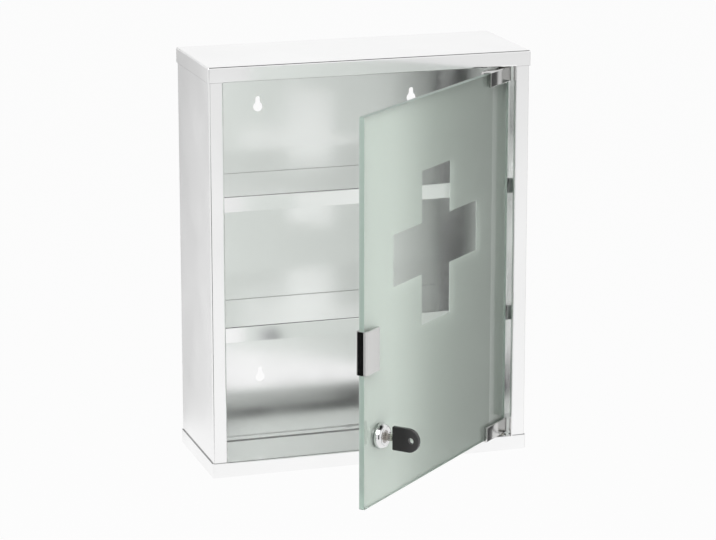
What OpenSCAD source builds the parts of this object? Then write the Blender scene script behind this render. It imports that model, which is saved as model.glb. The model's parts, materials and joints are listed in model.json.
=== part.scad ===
// Lockable wall cabinet for medicines: folded stainless steel body, two shelves,
// and an inset frosted glass door on corner pivots, with a cam lock and its key.
// Frame: millimetres, +Z up, +X to the right seen from the front, +Y into the wall.
// The origin is the centre of the back panel's wall face. The door stands open by door_open.

/* [Cabinet] */
// Overall width
cabinet_w = 320; // [290:1:420]
// Overall depth
cabinet_d = 120; // [100:1:180]
// Overall height
cabinet_h = 400; // [340:1:520]
// Thickness of the steel sheet
sheet = 1; // [0.8:0.1:1.2]
// Outer radius of every bend in the sheet
bend_r = 1.6; // [1.3:0.1:2.5]
// Width of the stiles and height of the rails round the door opening
frame_face = 15; // [12:1:20]
// Depth of the lips that the stiles and rails turn inwards
frame_return = 16; // [15:1:17]
// Depth of the tabs that join the back to the top and bottom caps
weld_tab = 12; // [6:1:20]

/* [Shelves] */
// Height of the lower shelf's top face above the cabinet's bottom
lower_shelf_up = 144; // [120:1:170]
// Height of the upper shelf's top face above the cabinet's bottom
upper_shelf_up = 272; // [215:1:300]
// Distance from the cabinet's front plane back to the shelves' fronts
shelf_setback = 18; // [17:0.5:24]
// Height of a shelf's front flange
shelf_front_h = 15; // [8:1:25]
// Height of a shelf's side and rear flanges
shelf_side_h = 10; // [5:1:20]

/* [Wall keyholes] */
// Distance between the left and right keyholes
keyhole_spacing = 158; // [100:1:240]
// Distance from the cabinet's top down to the upper hanging points
upper_hang_down = 55; // [35:1:80]
// Distance from the cabinet's bottom up to the lower hanging points
lower_hang_up = 70; // [45:1:100]
// Diameter of the round entry of a keyhole
entry_d = 9.5; // [8:0.5:12]
// Width of the slot of a keyhole
slot_w = 4.8; // [4:0.2:6]
// Height from the entry's centre up to the hanging point
hang_rise = 8; // [7:0.5:12]

/* [Door] */
// Angle at which the door stands open
door_open = 43; // [0:1:105]
// Thickness of the glass
glass_t = 5; // [4:0.5:5]
// Gap between the glass and the frame on each side
door_gap = 3; // [3:0.5:5]
// Distance from the cabinet's front plane back to the glass
glass_setback = 7; // [5:0.5:7]
// Radius of the corners of the glass
glass_corner_r = 1; // [0.5:0.5:3]
// Thickness of the frosted film on the inner face of the glass
film_t = 0.2; // [0.1:0.05:0.3]
// Distance from the glass's hinge edge to the pivot axis
pivot_inset = 6.5; // [6:0.5:8]

/* [Clear cross] */
// Overall width of the clear cross
cross_w = 164; // [100:1:180]
// Overall height of the clear cross
cross_h = 147; // [100:1:180]
// Width of its upright bar
cross_upright = 55; // [30:1:70]
// Height of its level bar
cross_level = 49; // [30:1:70]
// Distance of its centre to the left of the middle of the glass
cross_left = 2; // [-10:1:10]
// Height of its centre above the glass's lower edge
cross_up = 221; // [200:1:250]

/* [Hinge clamps] */
// Length of a clamp along the glass
clamp_len = 42; // [30:1:60]
// Height of a clamp
clamp_h = 15; // [12:1:20]
// Thickness of its front leg
clamp_front = 2; // [1.5:0.5:2.5]
// Thickness of its rear leg, which holds the screws
clamp_rear = 2.5; // [2:0.25:3]
// Thickness of the web between the legs
clamp_web = 1.5; // [1:0.1:1.6]
// Thickness of the plastic liners between metal and glass
liner_t = 0.5; // [0.3:0.1:0.6]
// Diameter of the pivot pins
pin_d = 5; // [4:0.5:5.5]
// Outer diameter of the bush sleeve
bush_d = 8; // [7:0.5:9]
// Diameter of the bush flange
bush_flange_d = 10; // [9.5:0.5:11]
// Thickness of the bush flange
bush_flange_t = 0.7; // [0.5:0.1:0.7]
// Length of the sleeve behind the flange
bush_len = 3; // [2:0.5:5]
// Diameter of the clamping screws
clamp_screw_d = 4; // [3:0.5:5]
// Length of the clamping screws
clamp_screw_len = 3.5; // [3:0.5:5]

/* [Handle] */
// Width of the handle clip across the glass
handle_w = 25; // [20:1:35]
// Height of the handle clip
handle_h = 41; // [25:1:60]
// Height of its centre above the glass's lower edge
handle_up = 148; // [135:1:155]
// Thickness of its front leg
handle_front = 3; // [2:0.5:4]
// Thickness of its rear leg
handle_rear = 2; // [1.5:0.5:2.5]
// Thickness of the web round the glass's edge
handle_web = 1.5; // [1:0.1:1.6]
// Reach of its rear leg
handle_rear_w = 16; // [12:1:20]
// Diameter of its screw
handle_screw_d = 3; // [2.5:0.5:4]

/* [Bumpers] */
// Diameter of a bumper
bumper_d = 8; // [6:1:12]
// Distance from the glass's free edge to the bumpers
bumper_in = 14; // [10:1:20]

/* [Lock] */
// Distance from the glass's free edge to the lock's axis
lock_in = 29; // [26:1:32]
// Height of the lock's axis above the glass's lower edge
lock_up = 63.5; // [50:0.5:80]
// Diameter of the lock's collar
collar_d = 24; // [22:0.5:30]
// Height of the collar above the glass
collar_h = 7; // [5:0.5:7]
// Diameter of the threaded barrel
barrel_d = 16; // [15:0.5:18]
// Diameter of the turning plug's face
plug_d = 11.9; // [11.5:0.1:12.5]
// Thickness of the gasket and of the washer
washer_t = 0.5; // [0.3:0.1:0.5]
// Distance across the flats of the nut
nut_flats = 20; // [19:1:24]
// Thickness of the nut
nut_t = 3.5; // [3:0.1:3.5]
// Length of the cam from the lock's axis
cam_reach = 36; // [35:1:38]
// Width of the cam
cam_w = 13; // [10:1:16]
// Thickness of the cam
cam_t = 2; // [1.5:0.5:3]
// Side of the square tail that drives the cam
tail_w = 6; // [5:0.5:7]
// Number of wafers in the plug
wafer_count = 4; // [3:1:4]

/* [Key] */
// Height of the key's head
head_h = 22.6; // [18:0.2:28]
// Length of the key's head
head_len = 27.6; // [22:0.2:36]
// Thickness of the key's head
head_t = 4; // [3:0.5:7]
// Distance from the glass to the near end of the head
head_start = 14; // [10:0.1:18]
// Diameter of the hole for the key ring
ring_hole_d = 5.5; // [3:0.5:7]
// Thickness of the blade
blade_t = 1.8; // [1.5:0.1:2]
// Height of the blade
blade_h = 6.8; // [6:0.2:7]

/* [Hidden] */

$fn = 96;
eps = 0.01;

// Clearances
seat_gap = 0.3;     // between parts that move past each other
fold_gap = 0.2;     // between a rail's lip and the stiles' lips
press_gap = 0.02;   // round pressed pins and screws
pin_gap = 0.05;     // round a turning pin or plug
key_gap = 0.3;      // round the key's blade

// Cabinet
front_y = -cabinet_d;
half_w = cabinet_w / 2;
half_h = cabinet_h / 2;
open_x = half_w - frame_face;
open_z = half_h - frame_face;
lip_end_y = front_y + frame_return;
bend_mid = bend_r - sheet / 2;
inner_bend_r = bend_r - sheet;
wrap_x = half_w - sheet;
shelf_x = wrap_x - sheet;
shelf_front_y = front_y + shelf_setback;
shelf_depth = -shelf_front_y - sheet;
lower_shelf_z = lower_shelf_up - half_h;
upper_shelf_z = upper_shelf_up - half_h;
upper_hang_z = half_h - upper_hang_down;
lower_hang_z = lower_hang_up - half_h;
flank_angle = 50;   // where a keyhole's flanks meet its round entry

// Door, in its closed place
glass_y = front_y + glass_setback;
glass_back_y = glass_y + glass_t;
film_y = glass_back_y + film_t;
glass_x = open_x - door_gap;
glass_z = open_z - door_gap;
pivot_x = glass_x - pivot_inset;
pivot_y = glass_y + glass_t / 2;

// Hinge clamps
clamp_top_z = glass_z + liner_t + clamp_web;
clamp_low_z = clamp_top_z - clamp_h;
clamp_front_y = glass_y - liner_t - clamp_front;
clamp_back_y = film_y + liner_t + clamp_rear;
clamp_start_x = glass_x - clamp_len;
clamp_edge_r = 1;
pin_top_z = open_z + bush_len + 1.5;
pin_chamfer = 0.5;
clamp_screw_z = (clamp_low_z + glass_z) / 2;
clamp_screw_xs = [glass_x - clamp_len * 0.28, glass_x - clamp_len * 0.76];
socket_ratio = 0.58;    // corner-to-corner size of a hex socket over its screw's diameter
socket_depth = 2;

// Handle
handle_x = -glass_x - liner_t - handle_web;
handle_z = handle_up - glass_z;
handle_front_y = glass_y - liner_t - handle_front;
handle_back_y = film_y + liner_t + handle_rear;
handle_front_r = 3.6;
handle_back_r = 1.8;
handle_screw_x = handle_x + handle_rear_w - 5;
handle_screw_len = 3;

// Bumpers reach from the film to just short of the closed shelves
bumper_x = -glass_x + bumper_in;
bumper_len = shelf_front_y - seat_gap - film_y;
bumper_zs = [lower_shelf_z - shelf_front_h / 2, upper_shelf_z - shelf_front_h / 2];

// Lock, along its own axis: 0 is the glass's outer face and + points out of the door
lock_x = -glass_x + lock_in;
lock_z = lock_up - glass_z;
barrel_r = barrel_d / 2;
plug_r = plug_d / 2;
plug_head_t = 1.6;
plug_body_r = plug_r - 0.4;
plug_shoulder = collar_h - 2.2;
glass_back = -(glass_t + film_t);
nut_top = glass_back - washer_t;
cam_front = lip_end_y + seat_gap + 0.4;             // just behind the stile's lip
cam_top = -(cam_front - glass_y);
barrel_end = cam_top + seat_gap;
tail_end = cam_top - cam_t + 0.1;
cam_screw_d = 4;
cam_washer_d = 9;
cam_washer_t = 0.8;
cam_screw_top = -6.8;
cam_head_d = 7.2;
cam_head_h = 2.4;
collar_dome = [[0, 0.22], [0.25, 0.42], [0.7, 0.62], [1.3, 0.79], [2, 0.92], [2.8, 1]]; // [in, share of height]
face_rim = 0.6;
face_dish = 0.8;
plug_face = plug_shoulder + plug_head_t;
keyway_w = blade_t + 2 * key_gap;
keyway_h = blade_h + 2 * key_gap;
keyway_end = -5.6;
wafer_t = 0.9;
wafer_w = 5;
wafer_h = 9.2;
wafer_slot = 1.1;
wafer_first = 3.6;
wafer_pitch = 2.4;

// Key
blade_tip = keyway_end + 0.5;
blade_in_head = 9;
head_round_r = head_h / 2;
head_corner_r = 1.2;
ring_hole_up = 3;       // from the centre of the head's round end towards its tip
notch_r = 0.9;
tip_cut = 1.5;

// ---------- shapes shared by several parts ----------

// A rectangle with the corners whose flags are 1 rounded: [left low, right low, right high, left high]
module corner_rect(x0, y0, x1, y1, r, flags) {
    centres = [[x0 + r, y0 + r], [x1 - r, y0 + r], [x1 - r, y1 - r], [x0 + r, y1 - r]];
    corners = [[x0, y0], [x1 - r, y0], [x1 - r, y1 - r], [x0, y1 - r]];
    difference() {
        translate([x0, y0]) square([x1 - x0, y1 - y0]);
        for (i = [0 : 3]) if (flags[i] == 1)
            difference() {
                translate(corners[i]) square(r);
                translate(centres[i]) circle(r);
            }
    }
}

function unit(v) = v / norm(v);

// Sheet of the cabinet's thickness bent along a path of right angles through its middle
module folded_strip(path) {
    last = len(path) - 1;
    for (i = [0 : last - 1]) {
        run = unit(path[i + 1] - path[i]);
        from = path[i] + run * (i > 0 ? bend_mid : 0);
        to = path[i + 1] - run * (i < last - 1 ? bend_mid : 0);
        side = [abs(run[1]), abs(run[0])] * sheet / 2;
        low = [min(from[0], to[0]), min(from[1], to[1])] - side;
        high = [max(from[0], to[0]), max(from[1], to[1])] + side;
        translate(low) square(high - low);
    }
    for (i = [1 : last - 1]) {
        into = unit(path[i] - path[i - 1]);
        away = unit(path[i + 1] - path[i]);
        centre = path[i] + (away - into) * bend_mid;
        corner = centre + (into - away) * bend_r;
        intersection() {
            translate(centre) difference() {
                circle(bend_r);
                circle(inner_bend_r);
            }
            translate([min(centre[0], corner[0]), min(centre[1], corner[1])]) square(bend_r);
        }
    }
}

// Extrudes a drawing of [y, z] along X between two x values
module along_x(x0, x1) {
    translate([x0, 0, 0]) rotate([90, 0, 90]) linear_extrude(x1 - x0) children();
}

// Extrudes a drawing of [x, z] along Y between two y values
module along_y(y0, y1) {
    translate([0, y1, 0]) rotate([90, 0, 0]) linear_extrude(y1 - y0) children();
}

// Turns a closed-door part to where the door stands
module on_door() {
    translate([pivot_x, pivot_y, 0]) rotate([0, 0, door_open])
        translate([-pivot_x, -pivot_y, 0]) children();
}

// The lock's own axes: Z out of the door, Y up
module on_lock() {
    on_door() translate([lock_x, glass_y, lock_z]) rotate([90, 0, 0]) children();
}

// A ring between two radii, from z0 to z1
module ring(inner, outer, z0, z1) {
    rotate_extrude() translate([inner, z0]) square([outer - inner, z1 - z0]);
}

// A headless screw with a hex socket in its far end, lying along Y from y0
module grub_screw(x, y0, z, d, length) {
    translate([x, y0, z]) rotate([-90, 0, 0]) difference() {
        cylinder(d = d, h = length);
        translate([0, 0, length - socket_depth])
            cylinder(d = d * socket_ratio, h = socket_depth + eps, $fn = 6);
    }
}

// ---------- cabinet ----------

module keyhole() {
    entry_r = entry_d / 2;
    slot_r = slot_w / 2;
    flank = entry_r * [cos(flank_angle), sin(flank_angle)];
    translate([0, -hang_rise]) circle(entry_r);
    circle(slot_r);
    translate([-slot_r, -hang_rise]) square([slot_w, hang_rise]);
    polygon([[-flank[0], flank[1] - hang_rise], [flank[0], flank[1] - hang_rise],
             [slot_r, -slot_r], [-slot_r, -slot_r]]);
}

module body_shell() {
    lip_x = open_x + sheet / 2;
    side_x = wrap_x - sheet / 2;
    stile_y = front_y + sheet * 1.5;
    back_y = -sheet / 2;
    shell_z = half_h - sheet - inner_bend_r;
    tab_z = half_h - sheet * 1.5;
    color("gainsboro") difference() {
        union() {
            translate([0, 0, -shell_z]) linear_extrude(2 * shell_z) folded_strip([
                [-lip_x, lip_end_y], [-lip_x, stile_y], [-side_x, stile_y], [-side_x, back_y],
                [side_x, back_y], [side_x, stile_y], [lip_x, stile_y], [lip_x, lip_end_y]
            ]);
            for (side = [-1, 1]) along_x(-open_x, open_x) folded_strip([
                [-weld_tab, side * tab_z], [back_y, side * tab_z], [back_y, side * (shell_z - bend_r)]
            ]);
        }
        for (x = [-1, 1] * keyhole_spacing / 2, z = [lower_hang_z, upper_hang_z])
            translate([x, 0, z]) along_y(-sheet - eps, eps) keyhole();
    }
}

// The top cap's shape: a plate with flanges at its front and sides, and the rail's inward lip
module cap() {
    low_z = half_h - frame_face;
    lip_x = open_x - fold_gap;
    difference() {
        union() {
            difference() {
                cap_block(0, bend_r, low_z);
                cap_block(sheet, inner_bend_r, low_z - 1);
                translate([-lip_x, front_y - eps, low_z - eps])
                    cube([2 * lip_x, sheet + 2 * eps, bend_r + eps]);
            }
            along_x(-lip_x, lip_x) folded_strip([
                [front_y + sheet / 2, low_z + 2 * bend_r], [front_y + sheet / 2, low_z + sheet / 2],
                [lip_end_y, low_z + sheet / 2]
            ]);
        }
        translate([pivot_x, pivot_y, low_z - 1]) cylinder(d = bush_d + 2 * press_gap, h = sheet + 2);
    }
}

// The cap's outer block, or the space inside it when inset by the sheet
module cap_block(inset, r, low_z) {
    x = half_w - inset;
    front = front_y + inset;
    top = half_h - inset;
    back = inset > 0 ? 1 : 0;
    intersection() {
        translate([0, 0, low_z]) linear_extrude(top - low_z)
            corner_rect(-x, front, x, back, r, [1, 1, 0, 0]);
        along_x(-x, x) corner_rect(front, low_z - 1, back, top, r, [0, 0, 0, 1]);
        along_y(front, back) corner_rect(-x, low_z - 1, x, top, r, [0, 0, 1, 1]);
    }
}

module top_cap() {
    color("whitesmoke") cap();
}

module bottom_cap() {
    color("whitesmoke") mirror([0, 0, 1]) cap();
}

// The shelf's outer block, or the space under it when inset by the sheet
module shelf_block(inset, r, low_z) {
    x = shelf_x - inset;
    front = shelf_front_y + inset;
    back = -sheet - inset;
    intersection() {
        translate([0, 0, low_z]) linear_extrude(-inset - low_z)
            corner_rect(-x, front, x, back, r, [1, 1, 1, 1]);
        along_x(-x, x) corner_rect(front, low_z - 1, back, -inset, r, [0, 0, 1, 1]);
        along_y(front, back) corner_rect(-x, low_z - 1, x, -inset, r, [0, 0, 1, 1]);
    }
}

// A shelf whose top face is at z
module shelf(z) {
    color("whitesmoke") translate([0, 0, z]) difference() {
        shelf_block(0, bend_r, -shelf_front_h);
        shelf_block(sheet, inner_bend_r, -shelf_front_h - 1);
        translate([-shelf_x - 1, shelf_front_y + sheet, -shelf_front_h - 1])
            cube([2 * shelf_x + 2, shelf_depth, shelf_front_h - shelf_side_h + 1]);
    }
}

module upper_shelf() {
    shelf(upper_shelf_z);
}

module lower_shelf() {
    shelf(lower_shelf_z);
}

// ---------- hinges ----------

module pivot_bush() {
    inner = pin_d / 2 + pin_gap;
    color("ivory") translate([pivot_x, pivot_y, open_z]) rotate_extrude() polygon([
        [inner, -bush_flange_t], [bush_flange_d / 2, -bush_flange_t], [bush_flange_d / 2, 0],
        [bush_d / 2, 0], [bush_d / 2, bush_len], [inner, bush_len]
    ]);
}

module upper_pivot_bush() {
    pivot_bush();
}

module lower_pivot_bush() {
    mirror([0, 0, 1]) pivot_bush();
}

module hinge_clamp() {
    color("silver") difference() {
        along_x(clamp_start_x, glass_x) difference() {
            corner_rect(clamp_front_y, clamp_low_z, clamp_back_y, clamp_top_z, clamp_edge_r, [1, 1, 1, 1]);
            translate([glass_y - liner_t, clamp_low_z - 1])
                square([film_y - glass_y + 2 * liner_t, clamp_h - clamp_web + 1]);
        }
        translate([pivot_x, pivot_y, glass_z]) cylinder(d = pin_d + 2 * press_gap, h = clamp_h);
        for (x = clamp_screw_xs)
            translate([x, film_y, clamp_screw_z]) rotate([-90, 0, 0])
                cylinder(d = clamp_screw_d + 2 * press_gap, h = clamp_rear + 2);
    }
}

module upper_hinge_clamp() {
    on_door() hinge_clamp();
}

module lower_hinge_clamp() {
    on_door() mirror([0, 0, 1]) hinge_clamp();
}

module clamp_liner() {
    low = clamp_low_z + liner_t;
    color("dimgray") along_x(clamp_start_x + liner_t, glass_x) difference() {
        translate([glass_y - liner_t, low])
            square([film_y - glass_y + 2 * liner_t, glass_z + liner_t - low]);
        translate([glass_y, low - 1]) square([film_y - glass_y, glass_z - low + 1]);
    }
}

module upper_clamp_liner() {
    on_door() clamp_liner();
}

module lower_clamp_liner() {
    on_door() mirror([0, 0, 1]) clamp_liner();
}

module pivot_pin() {
    r = pin_d / 2;
    base_z = glass_z + liner_t;
    color("silver") translate([pivot_x, pivot_y, 0]) rotate_extrude() polygon([
        [0, base_z], [r, base_z], [r, pin_top_z - pin_chamfer],
        [r - pin_chamfer, pin_top_z], [0, pin_top_z]
    ]);
}

module upper_pivot_pin() {
    on_door() pivot_pin();
}

module lower_pivot_pin() {
    on_door() mirror([0, 0, 1]) pivot_pin();
}

module clamp_screws() {
    color("slategray") on_door() for (x = clamp_screw_xs, side = [-1, 1])
        grub_screw(x, film_y + liner_t, side * clamp_screw_z, clamp_screw_d, clamp_screw_len);
}

// ---------- door ----------

module door_glass() {
    color("lightcyan", 0.5) on_door() difference() {
        along_y(glass_y, glass_back_y)
            corner_rect(-glass_x, -glass_z, glass_x, glass_z, glass_corner_r, [1, 1, 1, 1]);
        lock_hole(glass_y - 1, glass_back_y + 1);
    }
}

module lock_hole(y0, y1) {
    along_y(y0, y1) translate([lock_x, lock_z]) circle(barrel_r + seat_gap);
}

module frosted_film() {
    color("honeydew", 0.9) on_door() difference() {
        along_y(glass_back_y, film_y)
            corner_rect(-glass_x, -glass_z, glass_x, glass_z, glass_corner_r, [1, 1, 1, 1]);
        lock_hole(glass_back_y - 1, film_y + 1);
        translate([-cross_left, 0, cross_up - glass_z]) along_y(glass_back_y - 1, film_y + 1) {
            square([cross_w, cross_level], center = true);
            square([cross_upright, cross_h], center = true);
        }
    }
}

module door_bumpers() {
    color("lightgray") on_door() for (z = bumper_zs)
        translate([bumper_x, film_y, z]) rotate([-90, 0, 0]) cylinder(d = bumper_d, h = bumper_len);
}

module handle_clip() {
    color("silver") on_door() difference() {
        translate([0, 0, handle_z - handle_h / 2]) linear_extrude(handle_h) difference() {
            union() {
                corner_rect(handle_x, handle_front_y, handle_x + handle_w, film_y, handle_front_r,
                            [1, 0, 0, 0]);
                corner_rect(handle_x, glass_y, handle_x + handle_rear_w, handle_back_y, handle_back_r,
                            [0, 0, 0, 1]);
            }
            translate([-glass_x - liner_t, glass_y - liner_t])
                square([handle_w + 1, film_y - glass_y + 2 * liner_t]);
        }
        translate([handle_screw_x, film_y, handle_z]) rotate([-90, 0, 0])
            cylinder(d = handle_screw_d + 2 * press_gap, h = handle_rear + 2);
    }
}

module handle_liner() {
    color("dimgray") on_door() translate([0, 0, handle_z - handle_h / 2 + liner_t])
        linear_extrude(handle_h - 2 * liner_t) difference() {
            translate([-glass_x - liner_t, glass_y - liner_t])
                square([handle_rear_w - handle_web, film_y - glass_y + 2 * liner_t]);
            translate([-glass_x, glass_y]) square([handle_w, film_y - glass_y]);
        }
}

module handle_screw() {
    color("slategray") on_door()
        grub_screw(handle_screw_x, film_y + liner_t, handle_z, handle_screw_d, handle_screw_len);
}

// ---------- lock ----------

module lock_housing() {
    r = collar_d / 2;
    bore_r = plug_body_r + pin_gap;
    head_bore_r = plug_r + pin_gap;
    rim_r = r - collar_dome[len(collar_dome) - 1][0] - face_rim;
    color("silver") on_lock() rotate_extrude() polygon([
        [bore_r, barrel_end], [barrel_r, barrel_end], [barrel_r, washer_t], [r, washer_t],
        for (p = collar_dome) [r - p[0], collar_h * p[1]],
        [rim_r, collar_h], [rim_r - face_dish, collar_h - face_dish],
        [head_bore_r, collar_h - face_dish], [head_bore_r, plug_shoulder - pin_gap],
        [bore_r, plug_shoulder - pin_gap]
    ]);
}

module lock_gasket() {
    color("dimgray") on_lock() ring(barrel_r + press_gap, collar_d / 2 - 0.5, 0, washer_t);
}

module lock_washer() {
    color("silver") on_lock() ring(barrel_r + press_gap, nut_flats / 2 + 1, nut_top, glass_back);
}

module lock_nut() {
    color("silver") on_lock() difference() {
        translate([0, 0, nut_top - nut_t]) cylinder(d = nut_flats / cos(30), h = nut_t, $fn = 6);
        translate([0, 0, nut_top - nut_t - 1]) cylinder(r = barrel_r + press_gap, h = nut_t + 2);
    }
}

module wafer_places() {
    for (i = [0 : wafer_count - 1]) translate([0, 0, wafer_first - i * wafer_pitch]) children();
}

module lock_plug() {
    color("lightgray") on_lock() difference() {
        union() {
            translate([0, 0, plug_shoulder]) cylinder(r = plug_r, h = plug_head_t);
            translate([0, 0, cam_top]) cylinder(r = plug_body_r, h = plug_shoulder - cam_top + 1);
            translate([-tail_w / 2, -tail_w / 2, tail_end]) cube([tail_w, tail_w, cam_top - tail_end + 1]);
        }
        translate([-keyway_w / 2, -keyway_h / 2, keyway_end])
            cube([keyway_w, keyway_h, plug_face - keyway_end + 1]);
        wafer_places() translate([-wafer_w / 2 - fold_gap, -plug_r - 1, -wafer_slot / 2])
            cube([wafer_w + 2 * fold_gap, plug_d + 2, wafer_slot]);
        translate([0, 0, tail_end - 1])
            cylinder(d = cam_screw_d + 2 * press_gap, h = cam_screw_top - tail_end + 1 + pin_gap);
    }
}

module lock_wafers() {
    color("darkkhaki") on_lock() wafer_places() translate([0, 0, -wafer_t / 2])
        linear_extrude(wafer_t) difference() {
            square([wafer_w, wafer_h], center = true);
            square([keyway_w, keyway_h], center = true);
        }
}

module lock_cam() {
    r = cam_w / 2;
    color("lightgray") on_lock() translate([0, 0, cam_top - cam_t]) linear_extrude(cam_t) difference() {
        union() {
            circle(r);
            translate([-r, r - cam_reach]) square([cam_w, cam_reach - r]);
            translate([0, r - cam_reach]) circle(r);
        }
        square(tail_w + 2 * press_gap, center = true);
    }
}

module cam_washer() {
    color("silver") on_lock()
        ring(cam_screw_d / 2 + press_gap, cam_washer_d / 2, cam_top - cam_t - cam_washer_t, cam_top - cam_t);
}

module cam_screw() {
    head_z = cam_top - cam_t - cam_washer_t;
    color("silver") on_lock() difference() {
        union() {
            translate([0, 0, head_z]) cylinder(d = cam_screw_d, h = cam_screw_top - head_z);
            translate([0, 0, head_z - cam_head_h]) cylinder(d = cam_head_d, h = cam_head_h);
        }
        for (turn = [0, 90]) rotate([0, 0, turn]) translate([-cam_head_d / 3, -0.5, head_z - cam_head_h - 1])
            cube([cam_head_d / 1.5, 1, 2.2]);
    }
}

// ---------- key ----------

// Extrudes a drawing of [distance from the glass, height] across the key's thickness
module key_plate(t) {
    rotate([0, -90, 0]) translate([0, 0, -t / 2]) linear_extrude(t) children();
}

module key_blade() {
    edge = blade_h / 2;
    end = head_start + blade_in_head;
    color("silver") on_lock() key_plate(blade_t) difference() {
        polygon([
            [blade_tip, -edge + tip_cut], [blade_tip + tip_cut, -edge], [end, -edge],
            [end, edge], [blade_tip + tip_cut, edge], [blade_tip, edge - tip_cut]
        ]);
        for (i = [0 : wafer_count - 1], side = [-1, 1])
            translate([wafer_first - i * wafer_pitch, side * (edge + notch_r * 0.3)]) circle(notch_r);
    }
}

module key_head() {
    round_z = head_start + head_len - head_round_r;
    color("black") on_lock() difference() {
        key_plate(head_t) difference() {
            union() {
                corner_rect(head_start, -head_h / 2, round_z, head_h / 2, head_corner_r, [1, 0, 0, 1]);
                translate([round_z, 0]) circle(head_round_r);
            }
            translate([round_z + ring_hole_up, 0]) circle(d = ring_hole_d);
        }
        translate([-blade_t / 2 - press_gap, -blade_h / 2 - press_gap, head_start - 1])
            cube([blade_t + 2 * press_gap, blade_h + 2 * press_gap, blade_in_head + 1 + press_gap]);
    }
}

body_shell();
top_cap();
bottom_cap();
upper_shelf();
lower_shelf();
upper_pivot_bush();
lower_pivot_bush();
door_glass();
frosted_film();
door_bumpers();
upper_hinge_clamp();
lower_hinge_clamp();
upper_clamp_liner();
lower_clamp_liner();
upper_pivot_pin();
lower_pivot_pin();
clamp_screws();
handle_clip();
handle_liner();
handle_screw();
lock_housing();
lock_gasket();
lock_washer();
lock_nut();
lock_plug();
lock_wafers();
lock_cam();
cam_washer();
cam_screw();
key_blade();
key_head();
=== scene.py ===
"""A lockable wall cabinet for medicines.

Polished sheet steel, an inset frosted glass door, a clip handle, a cam lock and its key."""

import json
import math

import bmesh
import bpy
from mathutils import Matrix, Vector


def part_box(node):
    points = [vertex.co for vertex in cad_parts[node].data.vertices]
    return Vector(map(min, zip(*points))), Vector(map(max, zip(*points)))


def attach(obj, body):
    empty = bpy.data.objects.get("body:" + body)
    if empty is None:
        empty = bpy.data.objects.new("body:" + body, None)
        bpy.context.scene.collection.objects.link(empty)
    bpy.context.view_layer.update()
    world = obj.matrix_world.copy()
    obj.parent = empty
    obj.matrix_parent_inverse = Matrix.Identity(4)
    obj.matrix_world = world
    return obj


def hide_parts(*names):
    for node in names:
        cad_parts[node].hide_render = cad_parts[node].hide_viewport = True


bl_info = {
    "name": "Lockable medicine cabinet",
    "version": (1, 0, 0),
    "blender": (4, 5, 0),
    "location": "View3D > Sidebar > Cabinet",
    "description": "Builds the cabinet's visible pieces round its packed frame",
    "category": "Add Mesh",
}

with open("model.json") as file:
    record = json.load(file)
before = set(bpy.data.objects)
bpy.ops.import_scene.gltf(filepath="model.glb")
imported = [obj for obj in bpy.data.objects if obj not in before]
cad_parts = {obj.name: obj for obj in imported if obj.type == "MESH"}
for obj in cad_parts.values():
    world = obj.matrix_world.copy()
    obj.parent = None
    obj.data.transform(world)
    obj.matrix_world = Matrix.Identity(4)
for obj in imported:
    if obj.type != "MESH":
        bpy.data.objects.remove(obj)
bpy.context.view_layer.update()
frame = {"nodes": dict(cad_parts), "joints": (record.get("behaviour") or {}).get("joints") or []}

MM = 0.001
MICRON = 0.000001
WHITE = (1, 1, 1, 1)
QUARTER = math.pi / 2


# ---------- places, read from the frame ----------


def joint(name):
    return next(j for j in frame["joints"] if j["name"] == name)


DOOR_JOINT = joint("door_hinge")
PIVOT = Vector(DOOR_JOINT["pos_m"])
DOOR_ANGLE = -math.radians(DOOR_JOINT["range_deg"][0])
CLAMP_SCREW = 2 * MM  # radius of the clamps' screws
FIT = 0.02 * MM  # room left between pieces that fit together
LOCK_JOINT = joint("lock_turn")

# ON_DOOR takes a piece from its place on the closed door to the open door, and ON_LOCK one
# from the lock's own axes, Z out of the door and Y up.
ON_DOOR = (
    Matrix.Translation(PIVOT)
    @ Matrix.Rotation(DOOR_ANGLE, 4, "Z")
    @ Matrix.Translation(-PIVOT)
)
ON_LOCK = (
    Matrix.Translation(Vector(LOCK_JOINT["pos_m"]))
    @ Matrix.Rotation(DOOR_ANGLE, 4, "Z")
    @ Matrix.Rotation(QUARTER, 4, "X")
)
# STAND tips a turned shape, made along Z, to stand along the closed door's Y.
STAND = Matrix.Rotation(-QUARTER, 4, "X")


def box(node, place=None):
    """The lowest and highest corners of a CAD node, in the axes that place is given in."""
    back = (place or Matrix.Identity(4)).inverted()
    points = [back @ v.co for v in frame["nodes"][node].data.vertices]
    low = Vector([min(p[i] for p in points) for i in range(3)])
    high = Vector([max(p[i] for p in points) for i in range(3)])
    return low, high


# ---------- sizes and colours ----------


def size(name, text, default):
    return bpy.props.FloatProperty(
        name=name, description=text, default=default, min=0.0, unit="LENGTH", precision=4
    )


def colour(name, text, default):
    return bpy.props.FloatVectorProperty(
        name=name, description=text, default=default, min=0.0, max=1.0, size=3, subtype="COLOR"
    )


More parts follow.
